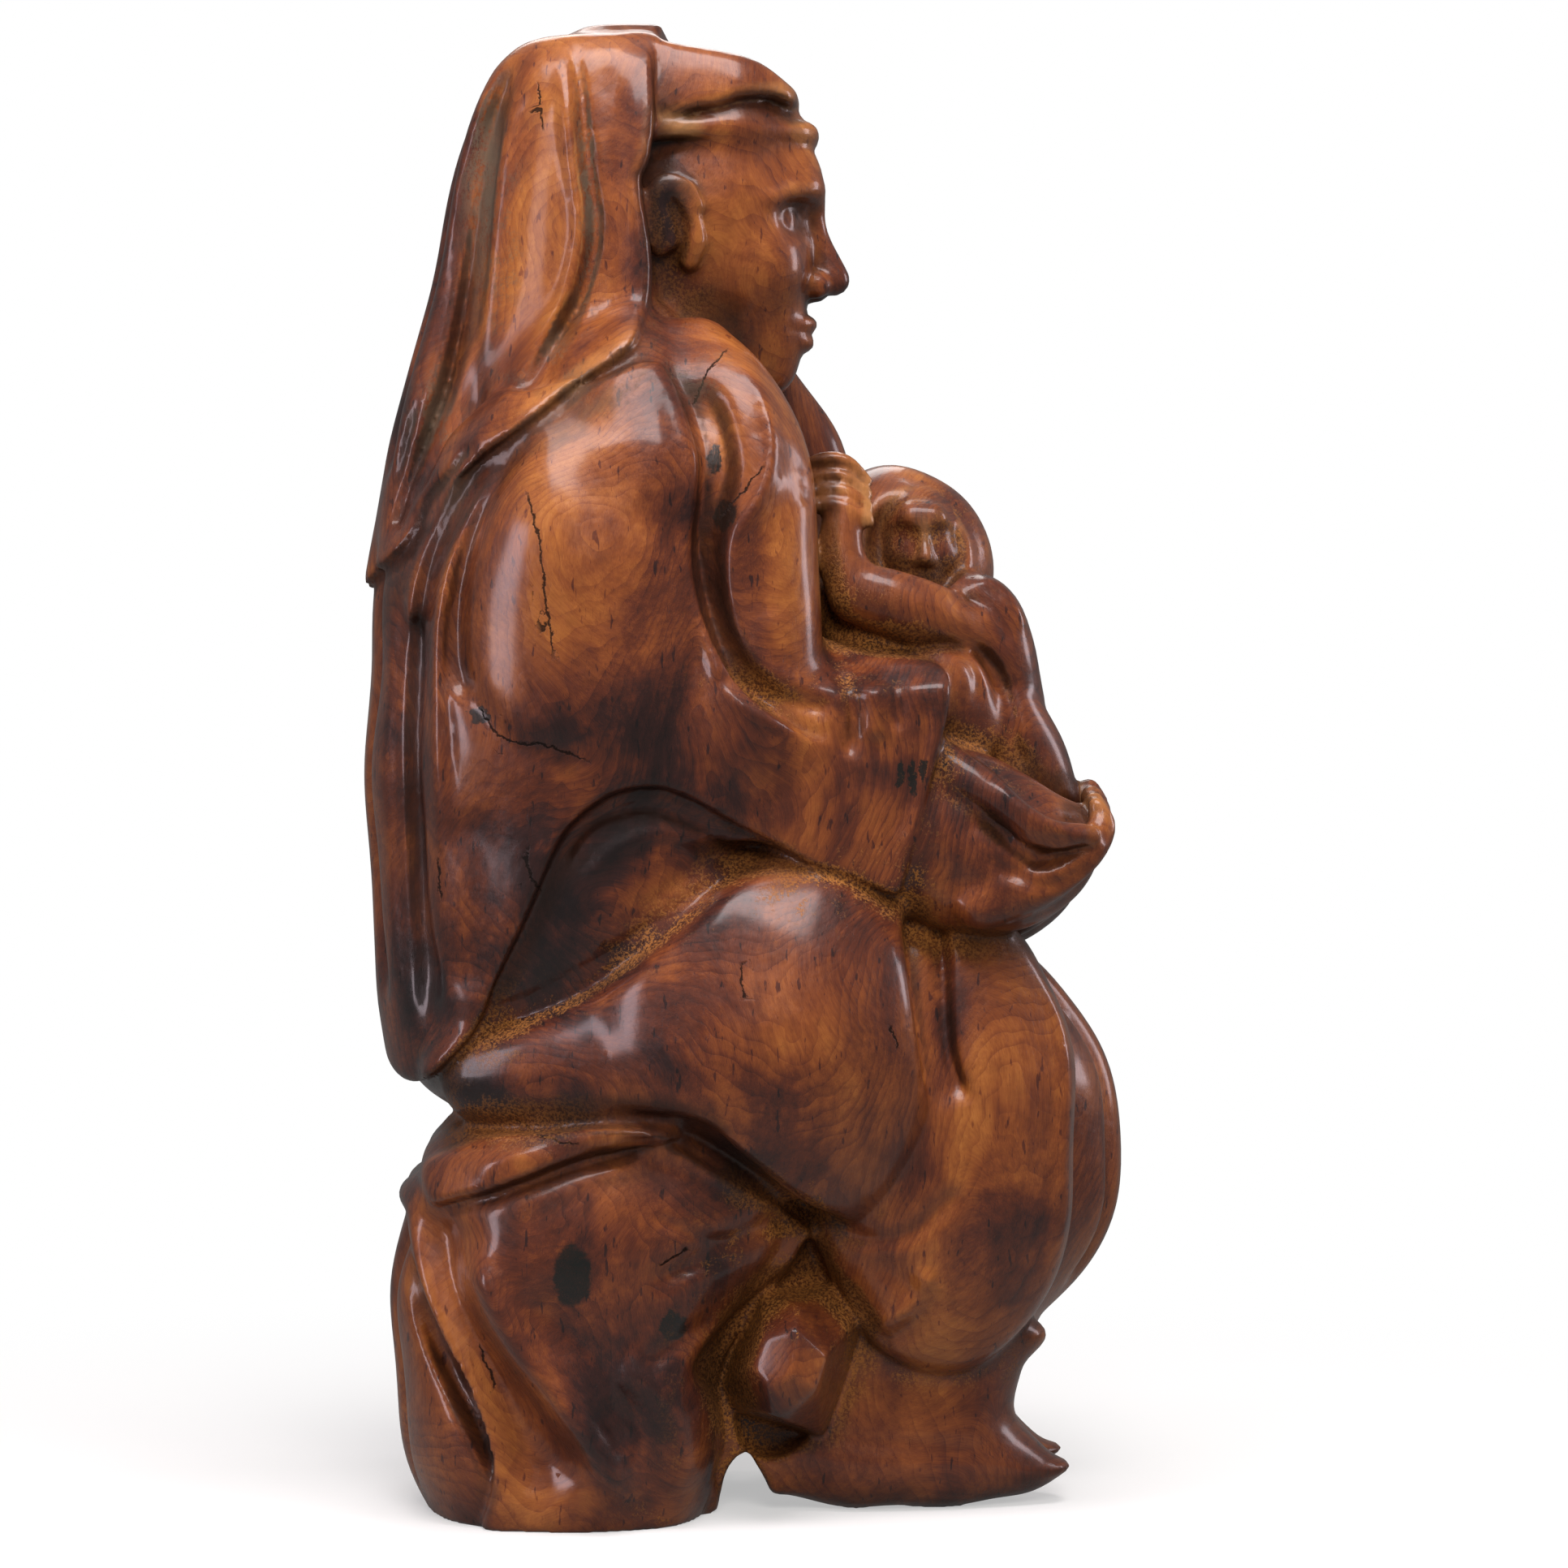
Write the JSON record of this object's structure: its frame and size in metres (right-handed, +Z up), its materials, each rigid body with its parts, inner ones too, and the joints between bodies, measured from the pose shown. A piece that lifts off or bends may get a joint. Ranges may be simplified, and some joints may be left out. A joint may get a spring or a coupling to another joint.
{
  "type": "madonna and child figure",
  "caption": "Seated mother in a long veil holding her child on her lap, carved from one block of varnished root wood; a free-standing folk art figure.",
  "frame": {"origin": "centre of the object's length and width, at the flat underside it stands on", "axes": "+Z up the figure, -Y the way she faces, +X towards her left hand"},
  "size_m": [0.1657, 0.2079, 0.3999],
  "materials": {
    "varnished_wood": "gloss varnish over red-brown root wood, ochre dust in the hollows"
  },
  "bodies": {
    "root": {"madonna_and_child": "varnished_wood"}
  },
  "joints": []
}
